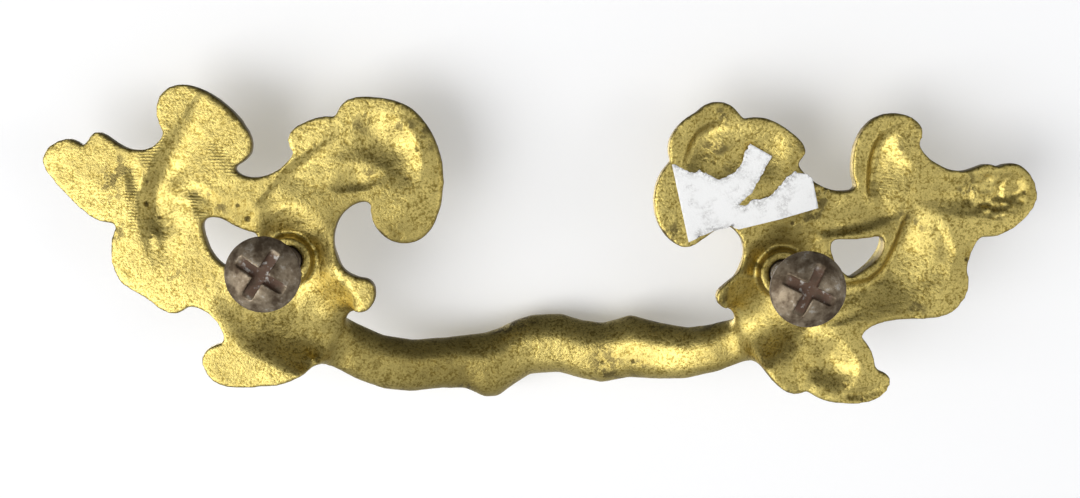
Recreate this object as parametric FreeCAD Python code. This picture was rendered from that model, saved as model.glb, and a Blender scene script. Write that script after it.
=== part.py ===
"""Drawer pull cast in brass: two leafy scrolled wings, a bowed grip between them and two screw posts.

The frame is the pull's own as fitted to a drawer. The mounting plane is Y = 0 and the front faces -Y, +Z is
up, +X is to the right as seen from the front, and the origin is midway between the two posts. All sizes are
in millimetres. Each wing is drawn in its own plan coordinates: out, away from the other wing, and up, both
measured from the middle of its screw post.
"""
import FreeCAD, Part

import math
import os
from collections import namedtuple

from FreeCAD import Vector

# Fastening: two equal screws in the posts, standing as they do with a drawer front in between
SCREW_SPACING = 76.2
PANEL_THICKNESS = 19.05
SCREW_LENGTH = 25.4
SCREW_DIAMETER = 4.17
SCREW_CLEARANCE = 0.06
SCREW_TIP_CHAMFER = 0.6
SCREW_TIP_GAP = 0.15
HEAD_DIAMETER = 10.7
HEAD_HEIGHT = 2.5
HEAD_RIM = 0.7
RECESS_WIDTH = 1.5
RECESS_DEPTH = 1.5
RECESS_LAND = 0.75
RECESS_TURN = {"right": 58.0, "left": -24.0}

# Screw posts
POST_TIP_DIAMETER = 7.2
POST_FOOT_DIAMETER = 8.4
POST_FOOT_FLARE = 0.8
POST_BUTT_DIAMETER = 4.8
BORE_FLOOR = 1.0

# Casting: plate at the rims, wall in front of the hollows, how far cutters overrun and ribs sink in
RIM_THICKNESS = 2.4
WALL_THICKNESS = 1.9
POCKET_DEPTH = 6.0
CUT_OVERRUN = 1.0
RIB_SINK = 0.6
CASTING_LIMIT = 30.0

# Grip: roundness of its section, as the power of a superellipse
GRIP_ROUNDNESS = 2.4
GRIP_SECTION_POINTS = 10

# Paper remnant on the back of the left scroll
LABEL_THICKNESS = 0.15
LABEL_LIFT = 0.05

Wing = namedtuple("Wing", "name side lobes window hollows ribs")
Section = namedtuple("Section", "share top bottom depth thickness")

# Outlines: each lobe runs from notch to notch, as a line, an arc or a smooth curve through its points
RIGHT_LOBES = (
    ((25.9, 5.1), (28.6, 5.1), (32.8, 8.0), (35.9, 11.2), (37.6, 14.4), (34.6, 17.6), (31.2, 16.1)),
    ((31.2, 16.1), (28.9, 18.9), (26.2, 17.2), (23.0, 16.3), (19.1, 19.0)),
    ((19.1, 19.0), (20.3, 21.8), (19.3, 25.3), (17.0, 26.4), (11.9, 25.0), (7.3, 21.0), (5.6, 18.0),
     (8.8, 13.9)),
    ((8.8, 13.9), (5.7, 12.6), (2.2, 13.6), (-0.7, 16.5)),
    ((-0.7, 16.5), (0.2, 18.9), (-1.9, 21.1), (-7.1, 22.0)),
    ((-7.1, 22.0), (-8.0, 24.3), (-12.1, 25.4), (-18.7, 23.6), (-23.4, 16.0), (-23.5, 9.2), (-20.7, 3.9),
     (-17.7, 2.9), (-13.8, 4.8), (-12.7, 9.3)),
    ((-12.7, 9.3), (-8.9, 8.0), (-7.0, 3.2), (-8.9, -1.4), (-12.0, -2.4)),
    ((-12.0, -2.4), (-13.5, -3.8), (-13.2, -6.4), (-9.1, -7.9)),
    ((-9.1, -7.9), (-5.5, -16.1)),
    ((-5.5, -16.1), (-2.2, -18.1), (0.1, -19.2), (5.7, -20.0), (11.1, -19.3), (13.1, -16.3), (9.6, -13.0)),
    ((9.6, -13.0), (10.9, -9.8), (15.3, -7.6)),
    ((15.3, -7.6), (17.4, -8.8), (22.3, -6.2), (25.3, -4.4), (27.2, 1.6), (25.9, 5.1)),
)
RIGHT_WINDOW = (
    ((13.2, 5.6), (11.9, 6.3), (8.8, 5.2), (4.9, 4.3)),
    ((4.9, 4.3), (5.2, 1.0), (6.6, -1.2)),
    ((6.6, -1.2), (9.9, -1.0), (12.3, 2.0), (13.2, 5.6)),
)
LEFT_LOBES = (
    ((-7.1, -6.2), (-9.6, -5.3), (-10.3, -3.6), (-7.6, -0.7), (-6.3, 3.5), (-8.7, 7.2)),
    ((-8.7, 7.2), (-11.2, 6.0), (-15.2, 3.6), (-18.6, 5.7), (-20.4, 10.1), (-18.0, 16.8)),
    ((-18.0, 16.8), (-18.5, 18.5), (-17.1, 22.2), (-14.3, 24.3)),
    ((-14.3, 24.3), (-9.8, 25.9), (-7.3, 23.4)),
    ((-7.3, 23.4), (-4.5, 23.9), (0.5, 21.6), (2.6, 19.2), (1.4, 17.0)),
    ((1.4, 17.0), (3.0, 15.2), (7.6, 13.0), (10.7, 13.5)),
    ((10.7, 13.5), (9.7, 18.6), (12.2, 23.8), (16.4, 25.1), (20.2, 23.0), (19.8, 20.5)),
    ((19.8, 20.5), (23.5, 17.2), (27.6, 16.7), (30.7, 17.8), (32.1, 17.2)),
    ((32.1, 17.2), (35.2, 17.8), (38.3, 13.2), (36.5, 9.3), (29.9, 6.5)),
    ((29.9, 6.5), (28.7, 3.9), (28.3, 1.1)),
    ((28.3, 1.1), (28.6, -1.4), (26.2, -5.3), (20.3, -6.5), (16.0, -7.1), (12.3, -9.3)),
    ((12.3, -9.3), (14.2, -11.7), (14.9, -14.5)),
    ((14.9, -14.5), (17.3, -16.4), (15.4, -19.1), (11.3, -20.0), (8.3, -19.9), (4.4, -18.2)),
    ((4.4, -18.2), (2.4, -18.8), (-1.0, -16.7), (-4.2, -13.5)),
    ((-4.2, -13.5), (-7.1, -6.2)),
)
LEFT_WINDOW = (
    ((7.2, 5.5), (11.0, 5.6), (15.0, 6.3)),
    ((15.0, 6.3), (15.1, 4.3), (13.5, 1.9), (10.4, -0.3)),
    ((10.4, -0.3), (8.0, 1.9), (7.2, 5.5)),
)

# Hollows of the backs: stations along each floor, with half the width at the rim and the depth there
RIGHT_HOLLOWS = (
    ((16.2, 20.6, 1.4, 0.9), (16.8, 16.2, 3.0, 2.4), (18.4, 9.2, 4.1, 3.4), (19.0, 3.2, 3.1, 2.9),
     (18.6, -1.6, 1.2, 0.9)),
    ((16.8, 23.4, 1.6, 0.7), (12.8, 21.8, 3.2, 1.6), (8.6, 18.6, 2.2, 1.0)),
    ((4.8, 9.2, 1.5, 0.8), (0.0, 11.0, 2.6, 1.8), (-5.0, 14.6, 3.7, 2.6), (-10.6, 18.4, 4.2, 3.0),
     (-16.4, 17.0, 4.1, 2.8), (-18.4, 11.6, 3.1, 1.9), (-18.0, 7.4, 1.6, 0.8)),
    ((0.6, -11.8, 2.2, 1.6), (4.2, -14.8, 3.5, 2.6), (8.8, -16.4, 2.4, 1.4)),
    ((-7.0, -4.4, 1.7, 1.6), (-9.8, -4.9, 1.7, 1.2), (-12.2, -5.1, 1.0, 0.6)),
)
LEFT_HOLLOWS = (
    ((17.2, 23.0, 1.7, 1.2), (15.6, 20.0, 3.2, 3.0), (15.0, 15.5, 3.4, 3.2), (15.2, 11.0, 2.6, 2.4),
     (16.4, 8.0, 1.8, 1.4)),
    ((18.0, 12.4, 2.0, 1.2), (22.6, 12.4, 2.8, 1.6), (28.0, 12.4, 3.3, 1.7), (33.4, 13.4, 3.3, 1.6),
     (36.2, 13.6, 2.0, 0.8)),
    ((20.4, 10.0, 2.0, 1.6), (19.6, 6.4, 3.0, 3.0), (17.4, 1.0, 3.2, 3.4), (13.6, -3.6, 3.0, 3.0),
     (8.4, -6.8, 2.2, 2.0)),
    ((-15.6, 18.0, 1.6, 0.9), (-11.6, 19.4, 3.2, 2.3), (-5.4, 19.2, 3.4, 2.3), (-0.6, 18.6, 2.0, 1.1)),
    ((-16.6, 9.6, 2.0, 0.8), (-12.0, 10.6, 3.2, 1.4), (-5.0, 11.6, 3.6, 1.6), (3.0, 9.6, 3.0, 1.6),
     (10.0, 9.6, 2.4, 1.4)),
    ((5.6, -15.0, 1.8, 1.0), (9.6, -15.9, 3.2, 2.4), (13.6, -16.5, 2.2, 1.2)),
)

# Pockets round the posts, running on into the roots of the grip
RIGHT_POCKET = (
    (-0.3, 5.0, 2.0, 2.2), (-0.4, 2.8, 4.4, 5.0), (-0.6, -1.0, 5.6, POCKET_DEPTH),
    (-1.2, -5.4, 5.6, POCKET_DEPTH), (-4.2, -9.6, 4.9, 6.3), (-8.4, -12.8, 4.5, 6.9),
    (-12.4, -15.6, 4.3, 7.6),
)
LEFT_POCKET = (
    (0.2, 5.0, 2.0, 2.2), (0.2, 2.8, 4.4, 5.0), (0.2, -1.0, 5.6, POCKET_DEPTH),
    (-0.4, -4.8, 5.4, POCKET_DEPTH), (-3.4, -8.6, 4.7, 6.3), (-7.4, -11.2, 4.3, 6.9),
    (-11.4, -13.4, 4.1, 7.6),
)

# Ribs on the fronts of leaves with no hollow behind them: half the width and the height over the plate
RIGHT_RIBS = (
    ((19.6, 9.6, 2.6, 2.2), (25.0, 11.6, 3.6, 2.6), (31.0, 13.2, 3.4, 2.2), (35.4, 14.4, 1.8, 0.9)),
    ((21.6, 11.6, 1.8, 1.6), (25.6, 14.6, 1.8, 1.7), (28.6, 17.0, 1.4, 1.1)),
    ((19.6, 3.6, 2.2, 2.2), (23.0, 0.8, 2.8, 2.2), (24.8, -2.4, 1.6, 1.0)),
    ((18.6, 1.6, 2.2, 2.2), (18.6, -3.6, 2.6, 2.0), (17.6, -7.0, 1.4, 0.9)),
    ((3.6, -12.6, 2.6, 2.2), (8.4, -16.2, 2.8, 2.0), (11.2, -17.2, 1.6, 0.9)),
)
LEFT_RIBS = (
    ((19.6, 4.6, 2.2, 2.2), (23.6, 1.6, 3.0, 2.2), (26.4, -1.6, 1.8, 1.0)),
    ((16.6, -0.6, 2.2, 2.2), (19.6, -3.2, 2.4, 1.9), (23.0, -4.6, 1.4, 0.9)),
    ((20.6, 13.6, 1.8, 1.6), (25.6, 14.6, 1.8, 1.6), (30.6, 16.6, 1.2, 1.0)),
    ((2.6, -10.6, 2.2, 2.0), (3.0, -14.6, 2.4, 1.8), (2.4, -17.6, 1.4, 0.8)),
)

WINGS = (
    Wing("right", 1.0, RIGHT_LOBES, RIGHT_WINDOW, RIGHT_HOLLOWS + (RIGHT_POCKET,), RIGHT_RIBS),
    Wing("left", -1.0, LEFT_LOBES, LEFT_WINDOW, LEFT_HOLLOWS + (LEFT_POCKET,), LEFT_RIBS),
)

# Grip sections from the left post to the right one, as shares of the way from the middle to a post
GRIP_SECTIONS = (
    Section(-1.00, -6.4, -12.6, 8.2, 2.4),
    Section(-0.90, -7.6, -15.2, 9.3, 4.4),
    Section(-0.78, -9.2, -17.3, 11.0, 6.2),
    Section(-0.66, -10.6, -18.8, 12.9, 7.4),
    Section(-0.54, -10.2, -19.4, 14.8, 8.2),
    Section(-0.42, -9.3, -19.5, 16.4, 8.8),
    Section(-0.30, -10.9, -20.7, 17.5, 8.6),
    Section(-0.21, -10.6, -20.2, 18.1, 8.9),
    Section(-0.12, -9.7, -19.3, 18.4, 9.2),
    Section(0.01, -10.0, -19.7, 18.5, 9.1),
    Section(0.09, -11.1, -21.8, 18.4, 9.2),
    Section(0.15, -12.3, -23.6, 18.1, 9.4),
    Section(0.21, -13.1, -23.7, 17.7, 9.0),
    Section(0.29, -13.5, -22.2, 17.2, 8.4),
    Section(0.40, -13.9, -22.1, 16.0, 8.2),
    Section(0.52, -14.1, -22.5, 14.4, 7.9),
    Section(0.64, -13.2, -21.8, 12.6, 7.1),
    Section(0.75, -10.9, -20.0, 10.8, 5.9),
    Section(0.86, -8.4, -17.7, 9.4, 4.4),
    Section(0.98, -7.2, -15.6, 8.4, 2.4),
)

# Paper remnant: its torn outline, in the plan coordinates of the left wing
LABEL_OUTLINE = (
    (-17.8, 16.3), (-16.2, 15.8), (-14.4, 15.0), (-13.6, 15.6), (-12.5, 15.1), (-10.5, 14.1), (-9.3, 14.9),
    (-8.0, 15.5), (-7.1, 16.7), (-6.6, 18.7), (-6.0, 19.8), (-2.6, 18.0), (-3.6, 16.0), (-4.7, 13.7),
    (-5.4, 12.5), (-6.4, 11.5), (-7.5, 10.4), (-6.2, 10.3), (-5.4, 11.2), (-2.9, 11.8), (-1.3, 13.3),
    (-0.2, 14.9), (0.9, 15.7), (2.9, 15.4), (3.7, 14.8), (4.8, 10.3), (-1.0, 8.4), (-7.2, 6.7), (-8.4, 7.1),
    (-11.4, 6.2), (-14.8, 4.5), (-16.2, 9.9),
)


def place(side, out, up, y=0.0):
    """Point of the model for a wing's plan coordinates and a depth."""
    return Vector(side * (SCREW_SPACING / 2 + out), y, up)


def curve(points):
    """Edge through points: a line for two, an arc for three, a smooth curve for more."""
    if len(points) == 2:
        return Part.LineSegment(*points).toShape()
    if len(points) == 3:
        return Part.Arc(*points).toShape()
    spline = Part.BSplineCurve()
    spline.interpolate(points)
    return spline.toShape()


def outline(lobes, side):
    """Closed wire in the mounting plane made of lobes that meet at their notches."""
    return Part.Wire([curve([place(side, *point) for point in lobe]) for lobe in lobes])


def trough(side, stations, base):
    """Rounded trough along stations: flat at the base depth, with an arc across each station below it."""
    wires = []
    for i, (out, up, half_width, depth) in enumerate(stations):
        before, after = stations[max(0, i - 1)], stations[min(len(stations) - 1, i + 1)]
        length = math.hypot(after[0] - before[0], after[1] - before[1])
        across_out = (before[1] - after[1]) / length * half_width
        across_up = (after[0] - before[0]) / length * half_width
        rim_a = (out + across_out, up + across_up)
        rim_b = (out - across_out, up - across_up)
        plan = ((*rim_a, base), (*rim_a, 0.0), (out, up, -depth), (*rim_b, 0.0), (*rim_b, base))
        corners = [place(side, *point) for point in plan]
        runs = (corners[0:2], corners[1:4], corners[3:5], (corners[4], corners[0]))
        wires.append(Part.Wire([curve(run) for run in runs]))
    solid = Part.makeLoft(wires, True, True)
    if solid.Volume < 0.0:
        solid.reverse()
    return solid


def make_hollow(wing, stations):
    """Cutter for one hollow, open past the mounting plane."""
    return trough(wing.side, stations, CUT_OVERRUN)


def make_rib(wing, stations):
    """Rounded rib on the front of the plate."""
    rib = trough(wing.side, stations, RIB_SINK)
    rib.translate(Vector(0.0, -RIM_THICKNESS, 0.0))
    return rib


def shell_rib(wing, stations):
    """Rib that keeps the wall in front of a hollow."""
    grown = []
    for out, up, half_width, depth in stations:
        height = depth + WALL_THICKNESS - RIM_THICKNESS + RIB_SINK
        grown.append((out, up, half_width + WALL_THICKNESS, height))
    return make_rib(wing, grown)


def make_wing(wing):
    """One wing: a plate with its window, ribs on the front and hollows behind them."""
    depth = Vector(0.0, -CASTING_LIMIT, 0.0)
    blank = Part.Face(outline(wing.lobes, wing.side)).extrude(depth)
    blank = blank.cut(Part.Face(outline(wing.window, wing.side)).extrude(depth))
    plate_corner = Vector(-2 * SCREW_SPACING, -RIM_THICKNESS, -SCREW_SPACING)
    plate = Part.makeBox(4 * SCREW_SPACING, RIM_THICKNESS, 2 * SCREW_SPACING, plate_corner)
    ribs = [shell_rib(wing, hollow) for hollow in wing.hollows]
    ribs += [make_rib(wing, rib) for rib in wing.ribs]
    relief = plate.fuse(ribs)
    return blank.common(relief).cut([make_hollow(wing, hollow) for hollow in wing.hollows])


def bore_depth():
    """Depth of the screw hole below the mounting plane."""
    return SCREW_LENGTH - PANEL_THICKNESS + SCREW_TIP_GAP


def make_post(wing):
    """Tapered post with a flared foot, flush with the rims, closed below the end of its screw hole."""
    foot, tip, butt = POST_FOOT_DIAMETER / 2, POST_TIP_DIAMETER / 2, POST_BUTT_DIAMETER / 2
    bottom = -bore_depth() - BORE_FLOOR
    profile = (
        Vector(0.0, bottom, 0.0),
        Vector(butt, bottom, 0.0),
        Vector(foot + POST_FOOT_FLARE, -POCKET_DEPTH, 0.0),
        Vector(foot, -POCKET_DEPTH + POST_FOOT_FLARE, 0.0),
        Vector(tip, 0.0, 0.0),
        Vector(0.0, 0.0, 0.0),
        Vector(0.0, bottom, 0.0),
    )
    post = Part.Face(Part.makePolygon(profile)).revolve(Vector(0, 0, 0), Vector(0, 1, 0), 360)
    post.translate(place(wing.side, 0.0, 0.0))
    return post


def make_bore(wing):
    """Blind hole in a post that takes the screw."""
    depth = bore_depth()
    radius = SCREW_DIAMETER / 2 + SCREW_CLEARANCE
    return Part.makeCylinder(radius, depth, place(wing.side, 0.0, 0.0, -depth), Vector(0, 1, 0))


def grip_wire(section):
    """Closed rounded section of the grip, across X."""
    x = section.share * SCREW_SPACING / 2
    middle = (section.top + section.bottom) / 2
    half_height, half_depth = (section.top - section.bottom) / 2, section.thickness / 2
    points = []
    for i in range(GRIP_SECTION_POINTS):
        turn = 2 * math.pi * i / GRIP_SECTION_POINTS
        across = math.copysign(abs(math.cos(turn)) ** (2 / GRIP_ROUNDNESS), math.cos(turn))
        along = math.copysign(abs(math.sin(turn)) ** (2 / GRIP_ROUNDNESS), math.sin(turn))
        points.append(Vector(x, -section.depth + half_depth * across, middle + half_height * along))
    spline = Part.BSplineCurve()
    spline.interpolate(points, True)
    return Part.Wire([spline.toShape()])


def make_casting():
    """Wings, posts and grip as the one casting, with the two screw holes."""
    grip = Part.makeLoft([grip_wire(section) for section in GRIP_SECTIONS], True, True)
    if grip.Volume < 0.0:
        grip.reverse()
    casting = grip
    for wing in WINGS:
        casting = casting.fuse(make_wing(wing)).fuse(make_post(wing))
    for wing in WINGS:
        casting = casting.cut(make_bore(wing))
    return casting


def make_recess(turn):
    """Cutter for the cross recess of a head whose top is at Y = 0: two slots, shallow at their ends."""
    reach = HEAD_DIAMETER / 2 - RECESS_LAND
    corners = [Vector(-reach, HEAD_HEIGHT, 0), Vector(reach, HEAD_HEIGHT, 0), Vector(reach, -HEAD_RIM, 0)]
    corners += [Vector(0, -RECESS_DEPTH, 0), Vector(-reach, -HEAD_RIM, 0)]
    runs = (corners[0:2], corners[1:3], corners[2:5], (corners[4], corners[0]))
    arms = []
    for quarter in (0.0, 90.0):
        profile = Part.Wire([curve(run) for run in runs])
        arm = Part.Face(profile).extrude(Vector(0.0, 0.0, RECESS_WIDTH))
        arm.translate(Vector(0.0, 0.0, -RECESS_WIDTH / 2))
        arm.rotate(Vector(0, 0, 0), Vector(0, 1, 0), turn + quarter)
        arms.append(arm)
    return arms[0].fuse(arms[1])


def make_screw(wing):
    """Truss-head screw: low domed head with a cross recess, plain shank with a chamfered tip."""
    shank, head = SCREW_DIAMETER / 2, HEAD_DIAMETER / 2
    under, top, tip = PANEL_THICKNESS, PANEL_THICKNESS + HEAD_HEIGHT, PANEL_THICKNESS - SCREW_LENGTH
    dome = HEAD_HEIGHT - HEAD_RIM
    radius = (head * head + dome * dome) / (2 * dome)
    midway = head / 2
    sag = radius - math.sqrt(radius * radius - midway * midway)
    edges = (
        curve((Vector(0.0, tip, 0.0), Vector(shank - SCREW_TIP_CHAMFER, tip, 0.0))),
        curve((Vector(shank - SCREW_TIP_CHAMFER, tip, 0.0), Vector(shank, tip + SCREW_TIP_CHAMFER, 0.0))),
        curve((Vector(shank, tip + SCREW_TIP_CHAMFER, 0.0), Vector(shank, under, 0.0))),
        curve((Vector(shank, under, 0.0), Vector(head, under, 0.0))),
        curve((Vector(head, under, 0.0), Vector(head, under + HEAD_RIM, 0.0))),
        curve((Vector(head, under + HEAD_RIM, 0.0), Vector(midway, top - sag, 0.0), Vector(0.0, top, 0.0))),
        curve((Vector(0.0, top, 0.0), Vector(0.0, tip, 0.0))),
    )
    screw = Part.Face(Part.Wire(edges)).revolve(Vector(0, 0, 0), Vector(0, 1, 0), 360)
    recess = make_recess(RECESS_TURN[wing.name])
    recess.translate(Vector(0.0, top, 0.0))
    screw = screw.cut(recess)
    screw.translate(place(wing.side, 0.0, 0.0))
    return screw


def make_label(wing):
    """Torn paper lying across the rims on the back of a wing."""
    points = [place(wing.side, *point, LABEL_LIFT) for point in LABEL_OUTLINE]
    return Part.Face(Part.makePolygon(points + points[:1])).extrude(Vector(0.0, LABEL_THICKNESS, 0.0))


def main():
    """Build every piece and write it to its own file."""
    os.makedirs("parts", exist_ok=True)
    pieces = {
        "pull_casting": make_casting(),
        "mounting_screws": Part.makeCompound([make_screw(wing) for wing in WINGS]),
        "paper_label": make_label(WINGS[1]),
    }
    for name, shape in pieces.items():
        shape.exportStep(f"parts/{name}.step")
        state = "valid" if shape.isValid() else "bad"
        print(name, len(shape.Solids), "solids", round(shape.Volume), "mm3", state)


main()
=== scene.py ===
"""Looks of the cast drawer pull: sculpted casting, two browned screws and a torn paper remnant.

Meshes are in metres in the pull's own frame: the mounting plane is Y = 0, the front faces -Y and
+Z is up. The sizes of the pieces are held in millimetres, those of the finishes and the studio in
metres unless they say otherwise. A wing's plan coordinates are out, away from the other wing, and
up, both from the middle of its screw post.
"""
from __future__ import annotations

import logging
import math
from dataclasses import dataclass
from enum import Enum
from typing import Any, Optional, Union

import bmesh
import bpy
import numpy as np
from mathutils import Euler, Matrix, Vector, noise
from mathutils.bvhtree import BVHTree

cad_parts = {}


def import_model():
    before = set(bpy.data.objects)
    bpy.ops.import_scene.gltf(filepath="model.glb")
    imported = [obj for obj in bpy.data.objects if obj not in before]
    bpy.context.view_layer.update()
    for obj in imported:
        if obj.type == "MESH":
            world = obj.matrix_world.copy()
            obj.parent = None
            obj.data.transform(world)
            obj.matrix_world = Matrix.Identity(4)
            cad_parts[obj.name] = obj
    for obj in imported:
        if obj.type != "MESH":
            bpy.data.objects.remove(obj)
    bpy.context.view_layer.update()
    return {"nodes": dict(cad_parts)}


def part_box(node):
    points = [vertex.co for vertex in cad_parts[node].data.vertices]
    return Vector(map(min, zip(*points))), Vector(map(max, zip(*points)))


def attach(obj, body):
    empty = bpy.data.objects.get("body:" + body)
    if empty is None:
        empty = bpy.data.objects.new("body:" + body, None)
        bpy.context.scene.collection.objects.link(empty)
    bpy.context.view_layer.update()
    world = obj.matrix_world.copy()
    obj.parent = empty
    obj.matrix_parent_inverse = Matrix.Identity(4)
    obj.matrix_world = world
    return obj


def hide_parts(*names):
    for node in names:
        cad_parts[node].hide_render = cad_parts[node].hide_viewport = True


MM = 0.001
POST_SPACING = 76.2
LOG = logging.getLogger("drawer_pull")

Colour = tuple[float, float, float, float]
Triple = tuple[float, float, float]
Plan = tuple[float, float]
Spot = tuple[float, float]
Range = tuple[float, float]
Station = tuple[float, float, float, float]
Operand = Union["Value", float]


class Value:
    """A shader socket that adds Math nodes when it is used in an expression."""

    def __init__(self, shader: "Shader", socket: bpy.types.NodeSocket) -> None:
        """Keep the socket and the shader that it belongs to."""
        self.shader = shader
        self.socket = socket

    def maths(self, operation: str, *operands: Operand) -> "Value":
        """Add a Math node.

        Args:
            operation: The Math node's operation.
            operands: Its inputs in order.

        Returns:
            The node's result.
        """
        inputs = dict(enumerate(operands))
        return self.shader.node("ShaderNodeMath", {"operation": operation}, inputs)

    def __add__(self, other: Operand) -> "Value":
        """This value plus another."""
        return self.maths("ADD", self, other)

    __radd__ = __add__

    def __sub__(self, other: Operand) -> "Value":
        """This value less another."""
        return self.maths("SUBTRACT", self, other)

    def __rsub__(self, other: Operand) -> "Value":
        """Another value less this one."""
        return self.maths("SUBTRACT", other, self)

    def __mul__(self, other: Operand) -> "Value":
        """This value times another."""
        return self.maths("MULTIPLY", self, other)

    __rmul__ = __mul__

    def __truediv__(self, other: Operand) -> "Value":
        """This value over another."""
        return self.maths("DIVIDE", self, other)

    def __rtruediv__(self, other: Operand) -> "Value":
        """Another value over this one."""
        return self.maths("DIVIDE", other, self)

    def __pow__(self, other: Operand) -> "Value":
        """This value to a power."""
        return self.maths("POWER", self, other)

    def size(self) -> "Value":
        """The value without its sign."""
        return self.maths("ABSOLUTE", self)

    def wave(self) -> "Value":
        """The sine of the value."""
        return self.maths("SINE", self)

    def either(self, other: Operand) -> "Value":
        """The larger of this value and another."""
        return self.maths("MAXIMUM", self, other)

    def step(self, low: float, high: float) -> "Value":
        """Smooth step from 0 at low to 1 at high."""
        inputs = {"Value": self, "From Min": low, "From Max": high, "To Min": 0.0, "To Max": 1.0}
        return self.shader.node("ShaderNodeMapRange", {"interpolation_type": "SMOOTHSTEP"}, inputs)


class Shader:
    """The node tree of one material or sky, with a single way to add any node."""

    def __init__(self, owner: Union[bpy.types.Material, bpy.types.World]) -> None:
        """Start with an empty tree.

        Args:
            owner: The material or sky that the tree belongs to.
        """
        owner.use_nodes = True
        self.tree = owner.node_tree
        self.tree.nodes.clear()
        self.place = self.node("ShaderNodeTexCoord", output="Object")

    def node(
        self,
        kind: str,
        settings: Optional[dict[str, Any]] = None,
        inputs: Optional[dict[Union[str, int], Any]] = None,
        output: Union[str, int] = 0,
    ) -> Optional[Value]:
        """Add a node.

        Args:
            kind: The node's type.
            settings: Its properties, set first.
            inputs: Values or links by socket name or number.
            output: The output to hand back.

        Returns:
            That output as a value, or None for a node that has no output.
        """
        made = self.tree.nodes.new(kind)
        for name, setting in (settings or {}).items():
            setattr(made, name, setting)
        for name, given in (inputs or {}).items():
            if isinstance(given, Value):
                self.tree.links.new(given.socket, made.inputs[name])
            else:
                made.inputs[name].default_value = given
        return Value(self, made.outputs[output]) if made.outputs else None

    def mix(
        self, factor: Operand, first: Union[Value, Colour], second: Union[Value, Colour]
    ) -> Value:
        """Blend two colours.

        Args:
            factor: 0 for the first, 1 for the second.
            first: A colour.
            second: Another colour.

        Returns:
            The blend.
        """
        settings = {"data_type": "RGBA", "clamp_factor": True}
        return self.node("ShaderNodeMix", settings, {0: factor, 6: first, 7: second}, 2)

    def grain(self, scale: float, detail: float = 2.0, roughness: float = 0.5) -> Value:
        """Noise over the piece.

        Args:
            scale: Waves per metre.
            detail: Octaves.
            roughness: Share of the finer octaves.

        Returns:
            The noise from 0 to 1.
        """
        inputs = {"Vector": self.place, "Scale": scale, "Detail": detail, "Roughness": roughness}
        return self.node("ShaderNodeTexNoise", None, inputs)

    def cells(self, scale: float) -> Value:
        """Distance to the nearest of scattered points, in cells, over the piece."""
        return self.node("ShaderNodeTexVoronoi", None, {"Vector": self.place, "Scale": scale})

    def axes(self) -> tuple[Value, Value, Value]:
        """Object coordinates.

        Returns:
            X, Y and Z.
        """
        kind, inputs = "ShaderNodeSeparateXYZ", {0: self.place}
        x, y, z = (self.node(kind, None, inputs, axis) for axis in range(3))
        return x, y, z

    def attribute(self, name: str) -> Value:
        """A number kept on the mesh."""
        return self.node("ShaderNodeAttribute", {"attribute_name": name}, None, "Fac")

    def bump(self, height: Value, strength: float, distance: float) -> Value:
        """Normal bent by a height.

        Args:
            height: The height.
            strength: The bump's strength.
            distance: Metres for a height of 1.

        Returns:
            The bent normal.
        """
        inputs = {"Strength": strength, "Distance": distance, "Height": height}
        return self.node("ShaderNodeBump", None, inputs, "Normal")

    def seen(self) -> Value:
        """Rays that show a thing as it is: from the camera, mirrored or through glass.

        Returns:
            1 on such rays.
        """
        rays = ("Is Camera Ray", "Is Glossy Ray", "Is Transmission Ray")
        camera, mirrored, through = (self.node("ShaderNodeLightPath", output=ray) for ray in rays)
        return camera.either(mirrored).either(through)

    def principled(self, inputs: dict[str, Any]) -> None:
        """Finish the material with a Principled surface that has these inputs."""
        surface = self.node("ShaderNodeBsdfPrincipled", None, inputs)
        self.node("ShaderNodeOutputMaterial", None, {"Surface": surface})


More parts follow.
